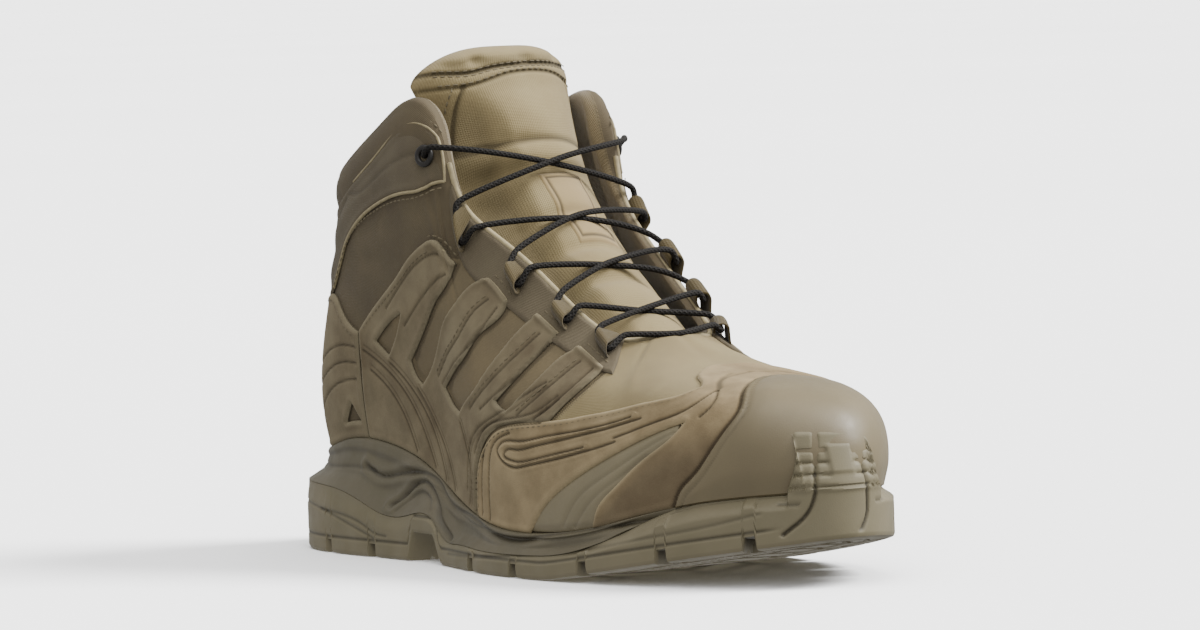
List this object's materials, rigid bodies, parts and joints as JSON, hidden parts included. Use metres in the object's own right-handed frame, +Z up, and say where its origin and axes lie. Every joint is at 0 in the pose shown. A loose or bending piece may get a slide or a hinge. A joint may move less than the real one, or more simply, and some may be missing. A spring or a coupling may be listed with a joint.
{
  "type": "trail boot",
  "caption": "Mid-height lace-up trail boot for the right foot, with a hollow fabric upper, suede overlays, padded tongue and collar, and a lugged rubber sole.",
  "frame": {"origin": "on the floor, under the middle of the boot's bounding box", "axes": "+X from the heel to the toe, +Y to the inner (medial) side of the foot, +Z up"},
  "size_m": [0.301, 0.1045, 0.178],
  "materials": {
    "outsole_rubber": "moulded matt rubber",
    "chassis_foam": "moulded foam, matt skin",
    "quarter_fabric": "tightly woven coated fabric",
    "insole_fabric": "knitted top cloth on foam",
    "tongue_fabric": "padded ripstop fabric",
    "toe_rubber": "smooth matt rubber",
    "suede": "brushed suede",
    "collar_webbing": "flat woven webbing",
    "eyelet_paint": "matt dark paint",
    "lace_cord": "round braided cord",
    "guide_webbing": "folded webbing loop"
  },
  "bodies": {
    "root": {"collar_band": "collar_webbing", "eyelet_lateral": "eyelet_paint", "eyelet_medial": "eyelet_paint", "guide_lateral_1": "guide_webbing", "guide_lateral_2": "guide_webbing", "guide_lateral_3": "guide_webbing", "guide_lateral_4": "guide_webbing", "guide_medial_1": "guide_webbing", "guide_medial_2": "guide_webbing", "guide_medial_3": "guide_webbing", "guide_medial_4": "guide_webbing", "heel_counter": "suede", "insole": "insole_fabric", "lace_bar": "lace_cord", "lace_crossing_1": "lace_cord", "lace_crossing_2": "lace_cord", "lace_crossing_3": "lace_cord", "lace_crossing_4": "lace_cord", "lateral_cage": "suede", "medial_panel": "suede", "midsole": "chassis_foam", "outsole": "outsole_rubber", "toe_cap": "toe_rubber", "tongue": "tongue_fabric", "upper": "quarter_fabric", "vamp_overlay": "suede"}
  },
  "joints": []
}
